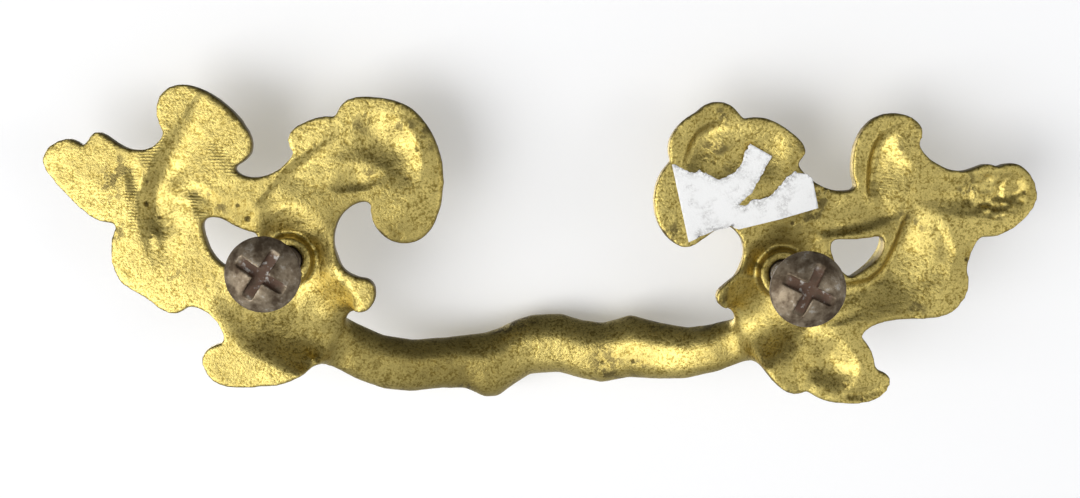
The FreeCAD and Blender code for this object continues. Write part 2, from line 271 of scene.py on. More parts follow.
@dataclass(frozen=True)
class BrassFinish:
    """Bright cast brass with a fine sandy grain, tarnish in its hollows, pits, file marks and
    painted shade on its side walls.
    """

    bright: Colour = (0.78, 0.63, 0.205, 1.0)
    warm: Colour = (0.29, 0.212, 0.048, 1.0)
    olive: Colour = (0.155, 0.114, 0.03, 1.0)
    pit: Colour = (0.07, 0.052, 0.022, 1.0)
    # colour of the painted shade on the steep side walls, standing in for their shade
    wall: Colour = (0.16, 0.11, 0.045, 1.0)
    grain_per_metre: float = 2500.0
    mottle_per_metre: float = 700.0
    patina_per_metre: float = 70.0
    stains_per_metre: float = 130.0
    pits_per_metre: float = 420.0
    file_marks_per_metre: float = 2100.0
    pit_rim: Range = (0.2, 0.36)
    pit_patches: Range = (0.54, 0.66)
    mark_rim: Range = (-0.2, 0.9)
    tone_range: Range = (0.38, 0.57)
    dull_range: Range = (0.42, 0.66)
    speck_range: Range = (0.55, 0.62)
    stain_range: Range = (0.6, 0.68)
    stain_grain: Range = (0.46, 0.56)
    tarnish_place: Spot = (0.018, -0.018)
    tarnish_reach: Range = (0.009, 0.019)
    tarnish_waver: float = 0.02
    bump_strength: float = 0.55
    bump_height: float = 0.00018

    def material(self) -> bpy.types.Material:
        """Build the material.

        Returns:
            The brass.
        """
        made = bpy.data.materials.new("cast_brass")
        s = Shader(made)
        grain = s.grain(self.grain_per_metre, 3.0, 0.65)
        mottle = s.grain(self.mottle_per_metre, 3.0, 0.6)
        patina = s.grain(self.patina_per_metre, 3.0, 0.6)
        stain = s.grain(self.stains_per_metre, 2.0, 0.5)
        scatter = s.grain(self.pits_per_metre / 3, 2.0, 0.5)
        holes = 1.0 - (s.cells(self.pits_per_metre) + mottle * 0.3).step(*self.pit_rim)
        pits = holes * scatter.step(*self.pit_patches)
        deep = s.attribute("hollow_depth")
        filed = s.attribute("file_marks")
        # painted shade mask: how far each point lies on a steep side wall
        painted_wall_shade = s.attribute("side_wall_shade")
        across, _, up = s.axes()
        beside, above = across - self.tarnish_place[0], up - self.tarnish_place[1]
        away = (beside * beside + above * above) ** 0.5 + (patina - 0.5) * self.tarnish_waver
        tarnish = 1.0 - away.step(*self.tarnish_reach)
        phase = up * self.file_marks_per_metre * 2.0 * math.pi + mottle * 3.0
        marks = phase.wave().step(*self.mark_rim) * filed
        tone = (grain * 0.6 + mottle * 0.4).step(*self.tone_range)
        worn = s.mix(tone, self.warm, self.bright)
        dull = (patina * 0.55 + mottle * 0.45).step(*self.dull_range) * 0.45
        dull = dull + deep * 0.12 + tarnish * 0.35
        toned = s.mix(dull, worn, self.olive)
        specks = (grain * 0.7 + patina * 0.3).step(*self.speck_range) * 0.4
        toned = s.mix(specks, toned, self.olive)
        stains = stain.step(*self.stain_range) * mottle.step(*self.stain_grain) * 0.7
        toned = s.mix(stains, toned, self.pit)
        toned = s.mix(marks * 0.3, toned, self.olive)
        # painted shade: the steep side walls are darkened towards the wall colour in place of their
        # shade
        toned = s.mix(painted_wall_shade * (0.35 + mottle * 0.5), toned, self.wall)
        colour = s.mix(pits * 0.8, toned, self.pit)
        roughness = 0.32 + grain * 0.14 + dull * 0.1 + pits * 0.3
        height = grain * 0.7 + mottle * 0.9 - pits * 1.4 - marks * 0.8
        inputs = {
            "Base Color": colour,
            "Metallic": 1.0,
            "Roughness": roughness,
            "Normal": s.bump(height, self.bump_strength, self.bump_height),
        }
        s.principled(inputs)
        return made


@dataclass(frozen=True)
class ScrewFinish:
    """Browned steel with rust in the cross recess and pale residue along its edges."""

    steel: Colour = (0.27, 0.215, 0.145, 1.0)
    brown: Colour = (0.085, 0.058, 0.034, 1.0)
    rust: Colour = (0.125, 0.07, 0.042, 1.0)
    pale: Colour = (0.55, 0.53, 0.48, 1.0)
    fine_per_metre: float = 2600.0
    blotches_per_metre: float = 380.0
    crust_per_metre: float = 900.0
    head_top: float = 0.02149
    dome_radius: float = 0.00885
    head_from: Range = (0.0188, 0.0192)
    recess_from: Range = (0.0001, 0.0006)
    skin_range: Range = (0.38, 0.6)
    rust_range: Range = (0.3, 0.5)
    residue_crust: Range = (0.54, 0.68)
    residue_patches: Range = (0.42, 0.6)
    bump_strength: float = 0.5
    bump_height: float = 0.0001

    def material(self) -> bpy.types.Material:
        """Build the material.

        Returns:
            The browned steel.
        """
        made = bpy.data.materials.new("browned_steel")
        s = Shader(made)
        across, back, up = s.axes()
        reach = across.size() - POST_SPACING * MM / 2
        fall = (reach * reach + up * up) / (2.0 * self.dome_radius)
        sunk = (self.head_top - fall - back).step(*self.recess_from)
        on_head = back.step(*self.head_from)
        fine = s.grain(self.fine_per_metre, 3.0, 0.65)
        blotch = s.grain(self.blotches_per_metre, 3.0, 0.6)
        crust = s.grain(self.crust_per_metre, 3.0, 0.7)
        clean = (blotch * 0.7 + crust * 0.3).step(*self.skin_range)
        skin = s.mix(clean, self.brown, self.steel)
        rusted = s.mix(sunk * on_head * blotch.step(*self.rust_range), skin, self.rust)
        residue = crust.step(*self.residue_crust) * blotch.step(*self.residue_patches)
        residue = residue * (0.5 + sunk * 0.4)
        colour = s.mix(residue, rusted, self.pale)
        roughness = 0.38 + fine * 0.2 + sunk * 0.25
        inputs = {
            "Base Color": colour,
            "Metallic": 0.75 - sunk * 0.6,
            "Roughness": roughness,
            "Normal": s.bump(fine * 0.6 + crust * 0.8, self.bump_strength, self.bump_height),
        }
        s.principled(inputs)
        return made


@dataclass(frozen=True)
class PaperFinish:
    """White paper torn to its grey fibres along its edges, with faint smudges."""

    white: Colour = (0.98, 0.98, 0.96, 1.0)
    grey: Colour = (0.5, 0.49, 0.47, 1.0)
    fibres_per_metre: float = 2600.0
    smudges_per_metre: float = 330.0
    smudge_range: Range = (0.48, 0.66)
    smudge_fibres: Range = (0.38, 0.62)
    torn_fibres: Range = (0.42, 0.58)
    roughness: float = 0.85
    bump_strength: float = 0.4
    bump_height: float = 0.0001

    def material(self) -> bpy.types.Material:
        """Build the material.

        Returns:
            The paper.
        """
        made = bpy.data.materials.new("torn_paper")
        s = Shader(made)
        fibre = s.grain(self.fibres_per_metre, 4.0, 0.75)
        smudge = s.grain(self.smudges_per_metre, 3.0, 0.6)
        torn = s.attribute("torn")
        smudged = smudge.step(*self.smudge_range) * fibre.step(*self.smudge_fibres) * 0.55
        grey = smudged + torn * fibre.step(*self.torn_fibres) * 0.8
        inputs = {
            "Base Color": s.mix(grey, self.white, self.grey),
            "Roughness": self.roughness,
            "Normal": s.bump(fibre + smudge, self.bump_strength, self.bump_height),
        }
        s.principled(inputs)
        return made


class Side(Enum):
    """The two wings, by the sign of their X."""

    RIGHT = 1.0
    LEFT = -1.0


class Cut(Enum):
    """Sections of the carver's strokes on the back."""

    SOFT = "shallow trough that fades out at both sides"
    BOWL = "full round hollow"
    BANK = "steep wall along the path with a long slope up again to the right of it"
    RIDGE = "raised bead"


RIGHT, LEFT = Side.RIGHT, Side.LEFT
SOFT, BOWL, BANK, RIDGE = Cut.SOFT, Cut.BOWL, Cut.BANK, Cut.RIDGE


@dataclass(frozen=True)
class Stroke:
    """One stroke of relief on a wing.

    Each station holds out, up, half the stroke's width or its reach, and its depth. The wall is the
    width of a bank's steep side.
    """

    side: Side
    cut: Cut
    stations: tuple[Station, ...]
    wall: float

    def depth(self, out: np.ndarray, up: np.ndarray) -> np.ndarray:
        """Depth that the stroke gives at plan points.

        Args:
            out: Plan coordinates away from the other wing.
            up: Plan coordinates upwards.

        Returns:
            The depth at each point, always positive.
        """
        nearest = np.full(out.shape, np.inf)
        across = np.zeros_like(out)
        width = np.ones_like(out)
        sink = np.zeros_like(out)
        for start, end in zip(self.stations, self.stations[1:]):
            run_out, run_up = end[0] - start[0], end[1] - start[1]
            length = math.hypot(run_out, run_up)
            off_out, off_up = out - start[0], up - start[1]
            share = np.clip((off_out * run_out + off_up * run_up) / length**2, 0.0, 1.0)
            gap = np.hypot(off_out - share * run_out, off_up - share * run_up)
            right = (off_out * run_up - off_up * run_out) / length
            closer = gap < nearest
            nearest = np.where(closer, gap, nearest)
            across = np.where(closer, np.copysign(gap, right), across)
            width = np.where(closer, start[2] + share * (end[2] - start[2]), width)
            sink = np.where(closer, start[3] + share * (end[3] - start[3]), sink)
        return sink * self._section(nearest / width, across, width)

    def _section(self, share: np.ndarray, across: np.ndarray, width: np.ndarray) -> np.ndarray:
        """Share of the full depth across the stroke.

        Args:
            share: Distance from the path over the width.
            across: Distance from the path, positive to the right of it.
            width: Half the width or the reach.

        Returns:
            The share at each point.
        """
        inside = np.clip(share, 0.0, 1.0)
        if self.cut is BOWL:
            return (1.0 - inside**2) ** 1.25
        if self.cut is BANK:
            wall = smooth(across, -0.25 * self.wall, 0.75 * self.wall)
            slope = np.clip(1.0 - across / np.maximum(width, self.wall), 0.0, 1.0) ** 1.25
            return wall * slope
        return np.cos(inside * math.pi / 2) ** 2


def smooth(value: np.ndarray, low: float, high: float) -> np.ndarray:
    """Smooth step of an array from 0 at low to 1 at high."""
    share = np.clip((value - low) / (high - low), 0.0, 1.0)
    return share * share * (3.0 - 2.0 * share)


def path(side: Side, cut: Cut, *stations: Station, wall: float = 1.8) -> Stroke:
    """A stroke from its stations, with the width of its steep wall."""
    return Stroke(side, cut, stations, wall)


def vein_fan(side: Side, root: Plan, edge: Plan, spread: float) -> list[Stroke]:
    """Three veins of one leaf, close together at its root.

    Args:
        side: The wing.
        root: Out and up of the leaf's root.
        edge: Out and up of its tip.
        spread: How far the outer veins end from the middle one.

    Returns:
        The veins as shallow strokes.
    """
    run = np.array(edge) - np.array(root)
    across = np.array((-run[1], run[0])) / np.hypot(*run)
    course = ((0.0, 0.1, 0.5, 0.15), (0.4, 0.75, 0.8, 0.5), (0.95, 1.0, 0.7, 0.25))
    veins = []
    for lane in (-1.0, 0.0, 1.0):
        along = 1.0 - 0.1 * abs(lane)
        stations = []
        for share, bow, width, depth in course:
            out, up = np.array(root) + share * run * along + across * lane * spread * bow
            stations.append((float(out), float(up), width, depth))
        veins.append(path(side, SOFT, *stations))
    return veins


class MeshTools:
    """What every piece needs: copies, voxel skins and arrays of vertices."""

    MERGE_GAP = 0.002

    @staticmethod
    def copy_of(node: bpy.types.Object, name: str) -> bpy.types.Object:
        """Copy a CAD node into a new object with its triangles merged.

        Args:
            node: The CAD node's object.
            name: The new object's name.

        Returns:
            The new object.
        """
        mesh = bpy.data.meshes.new(name)
        work = bmesh.new()
        work.from_mesh(node.data)
        bmesh.ops.remove_doubles(work, verts=work.verts, dist=MeshTools.MERGE_GAP * MM)
        work.to_mesh(mesh)
        work.free()
        made = bpy.data.objects.new(name, mesh)
        bpy.context.scene.collection.objects.link(made)
        return made

    @staticmethod
    def reskin(piece: bpy.types.Object, voxel: float) -> None:
        """Replace a mesh by its voxel skin.

        Args:
            piece: The object.
            voxel: Voxel size in millimetres.
        """
        remesh = piece.modifiers.new("skin", "REMESH")
        remesh.mode = "VOXEL"
        remesh.voxel_size = voxel * MM
        remesh.use_smooth_shade = True
        graph = bpy.context.evaluated_depsgraph_get()
        skin = bpy.data.meshes.new_from_object(piece.evaluated_get(graph))
        piece.modifiers.clear()
        piece.data = skin

    @staticmethod
    def points(piece: bpy.types.Object) -> np.ndarray:
        """Vertices of a piece.

        Args:
            piece: The object.

        Returns:
            One row for each, in millimetres.
        """
        flat = np.empty(len(piece.data.vertices) * 3, np.float32)
        piece.data.vertices.foreach_get("co", flat)
        return flat.reshape(-1, 3).astype(float) / MM

    @staticmethod
    def normals(piece: bpy.types.Object) -> np.ndarray:
        """Vertex normals of a piece.

        Args:
            piece: The object.

        Returns:
            One row for each.
        """
        flat = np.empty(len(piece.data.vertices) * 3, np.float32)
        piece.data.vertex_normals.foreach_get("vector", flat)
        return flat.reshape(-1, 3).astype(float)

    @staticmethod
    def move(piece: bpy.types.Object, points: np.ndarray) -> None:
        """Put vertices, given in millimetres, back into the mesh."""
        piece.data.vertices.foreach_set("co", (points * MM).astype(np.float32).ravel())
        piece.data.update()

    @staticmethod
    def relax(
        piece: bpy.types.Object, points: np.ndarray, weight: np.ndarray, rounds: int
    ) -> np.ndarray:
        """Draw vertices towards their neighbours.

        Args:
            piece: The object whose edges are used.
            points: Its vertices in millimetres.
            weight: How far each vertex follows, from 0 to 1.
            rounds: How many times.

        Returns:
            The relaxed vertices.
        """
        flat = np.empty(len(piece.data.edges) * 2, np.int32)
        piece.data.edges.foreach_get("vertices", flat)
        first, second = flat[0::2], flat[1::2]
        count = np.bincount(flat, minlength=len(points))[:, None]
        for _ in range(rounds):
            total = np.zeros_like(points)
            for axis in range(3):
                total[:, axis] += np.bincount(first, points[second, axis], len(points))
                total[:, axis] += np.bincount(second, points[first, axis], len(points))
            points = points + 0.5 * weight[:, None] * (total / count - points)
        return points

    @staticmethod
    def keep(piece: bpy.types.Object, name: str, numbers: np.ndarray) -> None:
        """Keep a number for each vertex as an attribute of the mesh."""
        layer = piece.data.attributes.new(name, "FLOAT", "POINT")
        layer.data.foreach_set("value", numbers.astype(np.float32))

    @staticmethod
    def dress(piece: bpy.types.Object, material: bpy.types.Material) -> None:
        """Give a piece its one material."""
        piece.data.materials.clear()
        piece.data.materials.append(material)

    @staticmethod
    def ripple(points: np.ndarray, scale: float, seed: float) -> np.ndarray:
        """Smooth noise at points.

        Args:
            points: Places in millimetres.
            scale: Size of its waves in millimetres.
            seed: Shift of the noise.

        Returns:
            Numbers from about -1 to 1.
        """
        shift = Vector((seed, -seed, seed * 0.5))
        return np.array([noise.noise(Vector(p) + shift) for p in points / scale])


@dataclass
class PullCasting:
    """The casting: the CAD solid, its relief carved finer on the back and veined on the front.

    The strokes are the relief of the back, the veins run from the root of each leaf to its edge on
    the front, and the filed bands of the right wing are where the file has left its marks. Roots
    are in plan coordinates, the root blends and the crumpled tip in X and Z.
    """

    finish: BrassFinish
    post_reach: float = 4.3
    skin_voxel: float = 0.376
    least_wall: float = 1.0
    thinnest_carved: float = 0.8
    ray_start: float = -50.0
    blend_power: float = 4.0
    root_right: tuple[Plan, Plan] = ((-9.1, -7.9), (-5.5, -16.1))
    root_left: tuple[Plan, Plan] = ((-7.1, -6.2), (-4.2, -13.5))
    root_blends: tuple[Spot, ...] = ((30.5, -12.0), (-32.0, -10.5), (37.5, -11.5), (-37.5, -10.5))
    root_reach: Range = (3.0, 7.0)
    hollow_floor: float = -8.0
    tip: Spot = (-69.6, 13.0)
    tip_stretch: float = 1.25
    tip_reach: Range = (2.4, 4.4)
    fettled: float = 0.03
    full_tarnish_depth: float = 9.0
    carve_rounds: int = 8
    skin_rounds: int = 3
    hollow_rounds: int = 14
    root_rounds: int = 30
    strokes: tuple[Stroke, ...] = (
        path(RIGHT, BANK, (16.3, 21.2, 8.5, 0.7), (17.9, 18.8, 8.5, 1.2), (19.5, 15.9, 8.0, 1.7),
             (21.0, 12.3, 7.4, 2.1), (22.6, 9.7, 8.6, 2.4), (22.4, 6.8, 8.0, 2.3),
             (21.8, 3.2, 6.6, 1.7), (21.0, 0.0, 4.6, 0.6), (20.6, -1.8, 3.0, 0.0), wall=3.0),
        path(RIGHT, RIDGE, (20.4, 3.4, 1.2, 0.8), (19.9, 1.3, 1.2, 0.7), (19.6, -1.2, 1.0, 0.3)),
        path(RIGHT, SOFT, (23.9, 13.2, 0.9, 0.5), (23.4, 10.4, 1.0, 0.8)),
        path(RIGHT, SOFT, (13.2, 7.9, 2.2, 0.2), (9.4, 6.8, 3.0, 0.5), (6.3, 5.4, 3.0, 0.9)),
        path(RIGHT, SOFT, (14.9, 10.6, 0.9, 0.5), (13.2, 9.6, 1.1, 0.8), (11.4, 8.7, 1.1, 0.3)),
        path(RIGHT, BANK, (-6.6, 19.2, 6.0, 0.4), (-3.3, 16.7, 7.5, 0.9), (-0.5, 14.8, 7.5, 1.1),
             (2.7, 11.0, 5.5, 0.7), wall=1.2),
        path(RIGHT, BANK, (-6.6, 10.8, 4.0, 0.3), (-8.6, 11.0, 6.0, 0.9), (-11.0, 11.4, 6.5, 1.1),
             (-13.6, 12.2, 5.0, 0.4), wall=1.4),
        path(RIGHT, SOFT, (-9.0, 17.5, 4.5, 0.5), (-13.0, 18.5, 5.0, 1.2), (-16.4, 17.2, 4.8, 1.5),
             (-18.0, 14.2, 4.2, 0.8), (-18.4, 11.6, 3.6, 0.2)),
        path(RIGHT, SOFT, (-19.5, 22.3, 3.2, 0.4), (-22.8, 17.5, 4.4, 0.8),
             (-23.2, 12.0, 4.8, 0.9), (-21.6, 6.0, 5.0, 0.9), (-18.2, 3.4, 4.0, 0.5)),
        path(RIGHT, BANK, (-19.6, 16.0, 4.0, 0.3), (-19.1, 18.2, 6.0, 1.0),
             (-18.0, 20.2, 6.0, 1.1), (-16.2, 21.9, 5.0, 0.7), (-13.6, 22.4, 4.0, 0.2), wall=1.6),
        path(RIGHT, SOFT, (-10.3, 19.8, 1.2, 0.6), (-10.6, 20.1, 1.2, 0.6)),
        path(RIGHT, RIDGE, (-5.6, 12.5, 2.6, 0.4), (-9.5, 15.0, 2.8, 0.6),
             (-12.6, 15.8, 2.0, 0.3)),
        path(RIGHT, SOFT, (0.6, 2.0, 7.6, 3.0), (0.0, 0.6, 8.4, 4.2)),
        path(RIGHT, BOWL, (0.0, -1.6, 6.4, 3.8), (-0.4, -3.6, 7.8, 4.0), (-0.7, -7.0, 9.2, 4.2),
             (-4.6, -10.4, 8.2, 5.2), (-8.3, -13.2, 6.6, 7.0), (-12.4, -15.6, 5.5, 7.4)),
        path(RIGHT, SOFT, (8.6, -7.2, 3.2, 0.5), (4.0, -11.0, 4.2, 1.4), (-1.2, -13.2, 4.0, 2.8)),
        path(LEFT, BANK, (-16.3, 14.5, 4.0, 0.4), (-16.1, 16.3, 6.0, 1.2), (-15.3, 19.3, 7.4, 1.8),
             (-13.9, 21.7, 7.4, 1.8), (-11.2, 23.0, 6.0, 1.0), (-8.6, 22.6, 5.0, 0.4), wall=1.0),
        path(LEFT, SOFT, (-11.0, 15.5, 4.5, 0.6), (-8.0, 17.5, 5.0, 1.1), (-3.6, 18.2, 4.6, 0.9)),
        path(LEFT, BANK, (12.6, 12.0, 6.0, 1.0), (12.2, 14.0, 7.0, 1.9), (12.2, 17.0, 7.4, 2.2),
             (12.8, 20.0, 7.0, 2.1), (14.1, 22.0, 5.5, 1.5), (16.4, 23.2, 4.0, 0.6), wall=0.8),
        path(LEFT, BANK, (17.4, 9.4, 3.5, 0.5), (16.1, 8.8, 4.8, 1.3), (11.9, 7.2, 5.0, 1.6),
             (9.3, 6.7, 5.0, 1.5), (6.4, 6.0, 4.8, 1.2), (4.0, 5.4, 4.0, 0.6), wall=0.9),
        path(LEFT, SOFT, (-2.0, 9.8, 3.2, 0.5), (2.3, 9.6, 3.4, 0.7), (6.9, 10.2, 3.0, 0.5)),
        path(LEFT, BANK, (8.6, -1.4, 6.0, 1.4), (12.9, -0.5, 8.4, 2.2), (15.0, 1.2, 9.6, 2.7),
             (16.2, 3.6, 10.0, 2.9), (17.3, 6.4, 9.0, 2.6), (18.2, 9.6, 7.0, 1.5),
             (18.6, 11.4, 5.0, 0.5), wall=0.9),
        path(LEFT, BANK, (23.6, 9.2, 2.0, 0.4), (24.3, 7.5, 2.4, 0.9), (25.8, 4.2, 2.8, 1.1),
             (25.0, 1.2, 2.8, 1.2), (22.1, -1.7, 2.8, 1.3), (17.8, -4.0, 2.8, 1.3),
             (13.4, -5.8, 2.6, 1.1), (9.0, -7.4, 2.4, 0.8), wall=1.2),
        path(LEFT, SOFT, (21.5, 12.4, 3.0, 0.5), (25.4, 12.5, 3.6, 0.7)),
        path(LEFT, BOWL, (25.4, 12.5, 3.0, 0.7), (28.6, 12.8, 3.3, 1.1), (31.4, 13.1, 3.5, 1.3),
             (33.8, 13.4, 3.2, 1.2)),
        path(LEFT, RIDGE, (31.2, 13.2, 1.0, 0.7), (31.5, 13.4, 1.0, 0.7)),
        path(LEFT, SOFT, (0.6, 2.0, 7.6, 3.0), (0.0, 0.6, 8.4, 4.2)),
        path(LEFT, BOWL, (0.0, -1.6, 6.4, 3.8), (-0.4, -3.4, 7.6, 4.2), (-2.0, -5.8, 7.8, 4.6),
             (-3.9, -8.1, 7.0, 5.2), (-7.4, -11.2, 6.0, 6.8), (-11.4, -13.4, 5.4, 7.4)),
        path(LEFT, BANK, (3.4, -17.4, 7.0, 0.5), (2.4, -13.4, 7.5, 1.8), (1.4, -9.6, 7.0, 1.6),
             wall=7.0),
        path(LEFT, SOFT, (4.7, -9.4, 2.2, 0.5), (5.0, -13.6, 2.4, 1.0), (4.6, -17.0, 2.0, 0.6)),
        path(LEFT, BOWL, (5.2, -11.6, 3.2, 1.3), (6.6, -13.2, 4.2, 1.9), (8.6, -14.8, 3.6, 1.5)),
        path(LEFT, SOFT, (10.5, -18.4, 0.9, 0.5), (13.1, -18.4, 0.9, 0.6),
             (15.9, -17.2, 0.8, 0.3)),
    )
    veins: tuple[Stroke, ...] = (
        *vein_fan(RIGHT, (20.5, 9.5), (37.0, 14.4), 2.4),
        *vein_fan(RIGHT, (24.0, 11.5), (28.8, 18.4), 1.6),
        *vein_fan(RIGHT, (15.0, 11.5), (17.6, 25.8), 3.0),
        *vein_fan(RIGHT, (13.5, 11.5), (7.2, 20.4), 2.4),
        *vein_fan(RIGHT, (2.5, 10.5), (-1.4, 20.6), 2.0),
        *vein_fan(RIGHT, (-4.0, 13.0), (-12.5, 25.0), 3.0),
        *vein_fan(RIGHT, (-8.0, 14.5), (-23.0, 14.0), 3.6),
        *vein_fan(RIGHT, (-16.0, 13.0), (-18.4, 3.4), 2.6),
        *vein_fan(RIGHT, (17.0, 5.0), (25.6, -3.4), 3.6),
        *vein_fan(RIGHT, (3.0, -11.5), (11.4, -18.6), 2.4),
        *vein_fan(LEFT, (19.5, 11.0), (37.6, 13.6), 2.4),
        *vein_fan(LEFT, (15.5, 11.0), (16.0, 24.6), 3.0),
        *vein_fan(LEFT, (-1.0, 12.5), (2.0, 19.2), 1.8),
        *vein_fan(LEFT, (-4.0, 13.5), (-9.6, 25.2), 2.6),
        *vein_fan(LEFT, (-6.0, 14.0), (-17.4, 21.0), 2.8),
        *vein_fan(LEFT, (-9.0, 12.0), (-18.8, 7.0), 3.0),
        *vein_fan(LEFT, (17.0, 4.5), (27.2, -3.6), 3.6),
        *vein_fan(LEFT, (6.0, -9.5), (14.6, -18.4), 2.6),
    )
    filed_bands: tuple[Stroke, ...] = (
        path(RIGHT, SOFT, (23.6, 13.0, 1.2, 0.9), (24.0, 9.5, 1.3, 0.9), (23.4, 4.5, 1.2, 0.5)),
        path(RIGHT, SOFT, (21.8, 15.6, 1.5, 1.0), (20.9, 14.2, 1.5, 1.0), (18.9, 18.9, 1.0, 1.0)),
        path(RIGHT, SOFT, (14.4, 9.8, 1.2, 1.0), (13.5, 6.7, 1.2, 0.8)),
        path(RIGHT, SOFT, (11.3, 16.4, 1.8, 0.9), (8.6, 13.9, 1.6, 0.9)),
    )

    @staticmethod
    def plan(points: np.ndarray) -> tuple[np.ndarray, np.ndarray]:
        """Plan coordinates, out and up from the nearer post, of vertices in millimetres."""
        return np.abs(points[:, 0]) - POST_SPACING / 2, points[:, 2]

    def relief(self, points: np.ndarray) -> np.ndarray:
        """Depth of the back below the mounting plane at plan points.

        Args:
            points: Vertices in millimetres.

        Returns:
            The depth at each.
        """
        sign = np.sign(points[:, 0])
        out, up = self.plan(points)
        sunk = np.zeros(len(points))
        raised = np.zeros(len(points))
        for stroke in self.strokes:
            depth = np.where(sign == stroke.side.value, stroke.depth(out, up), 0.0)
            if stroke.cut is RIDGE:
                raised += depth
            else:
                sunk += depth**self.blend_power
        sunk = sunk ** (1.0 / self.blend_power)
        return np.maximum(sunk - raised * smooth(sunk, 0.0, 1.0), 0.0)

    def wing_share(self, points: np.ndarray) -> np.ndarray:
        """Tell the wings from the grip.

        Args:
            points: Vertices in millimetres.

        Returns:
            1 on the wings and 0 on the grip, changing over at the roots.
        """
        share = np.ones(len(points))
        out, up = self.plan(points)
        for side, (top, bottom) in ((RIGHT, self.root_right), (LEFT, self.root_left)):
            run = (bottom[0] - top[0], bottom[1] - top[1])
            inside = ((out - top[0]) * -run[1] + (up - top[1]) * run[0]) / math.hypot(*run)
            low = 1.0 - smooth(up, top[1] + 0.2, top[1] + 1.4)
            wing = 1.0 - low * (1.0 - smooth(inside, -1.2, 1.2))
            mine = np.sign(points[:, 0]) == side.value
            share = np.where(mine, np.minimum(share, wing), share)
        return share

    def carve(self, piece: bpy.types.Object) -> None:
        """Give the back of the wings its relief, leaving the least wall in front of it.

        Args:
            piece: The casting's object.
        """
        points, normals = MeshTools.points(piece), MeshTools.normals(piece)
        tree = BVHTree.FromObject(piece, bpy.context.evaluated_depsgraph_get())
        depth = self.relief(points)
        share = self.wing_share(points)
        from_post = np.hypot(*self.plan(points))
        ahead = Vector((0.0, 1.0, 0.0))
        for i in np.flatnonzero((from_post > self.post_reach) & (share > 0.0)):
            x, y, z = points[i]
            hit = tree.ray_cast(Vector((x * MM, self.ray_start * MM, z * MM)), ahead)[0]
            if hit is None:
                points[i, 1] = min(y, -depth[i])
                continue
            front = hit.y / MM
            floor = -min(depth[i], max(0.0, -front - self.least_wall))
            if normals[i, 1] > -0.15 and y - front > self.thinnest_carved:
                points[i, 1] = share[i] * floor + (1.0 - share[i]) * y
        back = smooth(normals[:, 1], 0.0, 0.4) * smooth(depth, 0.3, 1.0)
        back = back * (from_post > self.post_reach + 0.5)
        MeshTools.move(piece, MeshTools.relax(piece, points, back * share, self.carve_rounds))

    def roughen(self, piece: bpy.types.Object) -> None:
        """Ease the skin, blend the roots and leave the unevenness of the sand mould.

        Args:
            piece: The casting's object.
        """
        points = MeshTools.points(piece)
        points = MeshTools.relax(piece, points, np.ones(len(points)), self.skin_rounds)
        sunk = smooth(self.relief(points), 0.1, 0.8) * (points[:, 1] > self.hollow_floor)
        off_post = smooth(np.hypot(*self.plan(points)), 4.2, 5.2)
        points = MeshTools.relax(piece, points, sunk * off_post, self.hollow_rounds)
        root = np.zeros(len(points))
        for x, z in self.root_blends:
            away = np.hypot(points[:, 0] - x, points[:, 2] - z)
            root = np.maximum(root, 1.0 - smooth(away, *self.root_reach))
        points = MeshTools.relax(piece, points, root, self.root_rounds)
        MeshTools.move(piece, points)
        normals = MeshTools.normals(piece)
        swell = self._sand(points, normals) + self._crumple(points, normals)
        swell -= self._veining(points, normals)
        points = points + normals * (swell - self.fettled)[:, None]
        points[:, 1] = np.minimum(points[:, 1], 0.0)
        MeshTools.move(piece, points)

    def _sand(self, points: np.ndarray, normals: np.ndarray) -> np.ndarray:
        """Swell of the sand mould's unevenness, stronger in the hollows.

        Args:
            points: Vertices in millimetres.
            normals: Their normals.

        Returns:
            The swell in millimetres.
        """
        hollow = smooth(self.relief(points), 0.2, 0.8) * smooth(normals[:, 1], 0.2, 0.6)
        uneven = 0.05 + 0.08 * hollow
        broad, fine = MeshTools.ripple(points, 3.1, 3.0), MeshTools.ripple(points, 1.1, 7.0)
        return broad * uneven + fine * 0.03

    def _crumple(self, points: np.ndarray, normals: np.ndarray) -> np.ndarray:
        """Swell of the crumpled back of the left wing's tip.

        Args:
            points: Vertices in millimetres.
            normals: Their normals.

        Returns:
            The swell in millimetres.
        """
        beside = (points[:, 0] - self.tip[0]) / self.tip_stretch
        from_tip = np.hypot(beside, points[:, 2] - self.tip[1])
        crumple = (1.0 - smooth(from_tip, *self.tip_reach)) * smooth(normals[:, 1], 0.2, 0.6)
        broad, fine = MeshTools.ripple(points, 1.3, 23.0), MeshTools.ripple(points, 0.7, 29.0)
        return crumple * (broad * 0.5 + fine * 0.2)

    def _veining(self, points: np.ndarray, normals: np.ndarray) -> np.ndarray:
        """Depth of the veins on the front.

        Args:
            points: Vertices in millimetres.
            normals: Their normals.

        Returns:
            The depth in millimetres.
        """
        sign = np.sign(points[:, 0])
        out, up = self.plan(points)
        veined = np.zeros(len(points))
        for vein in self.veins:
            depth = np.where(sign == vein.side.value, vein.depth(out, up), 0.0)
            veined = np.maximum(veined, depth)
        return veined * smooth(-normals[:, 1], 0.1, 0.5)

    def build(self, node: bpy.types.Object) -> bpy.types.Object:
        """Make the casting.

        Args:
            node: The CAD casting.

        Returns:
            The dressed casting.
        """
        piece = MeshTools.copy_of(node, "sculpted_casting")
        MeshTools.reskin(piece, self.skin_voxel)
        self.carve(piece)
        MeshTools.reskin(piece, self.skin_voxel)
        self.roughen(piece)
        self._mark(piece)
        MeshTools.dress(piece, self.finish.material())
        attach(piece, "root")
        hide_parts("pull_casting")
        LOG.info("casting: %d faces", len(piece.data.polygons))
        return piece

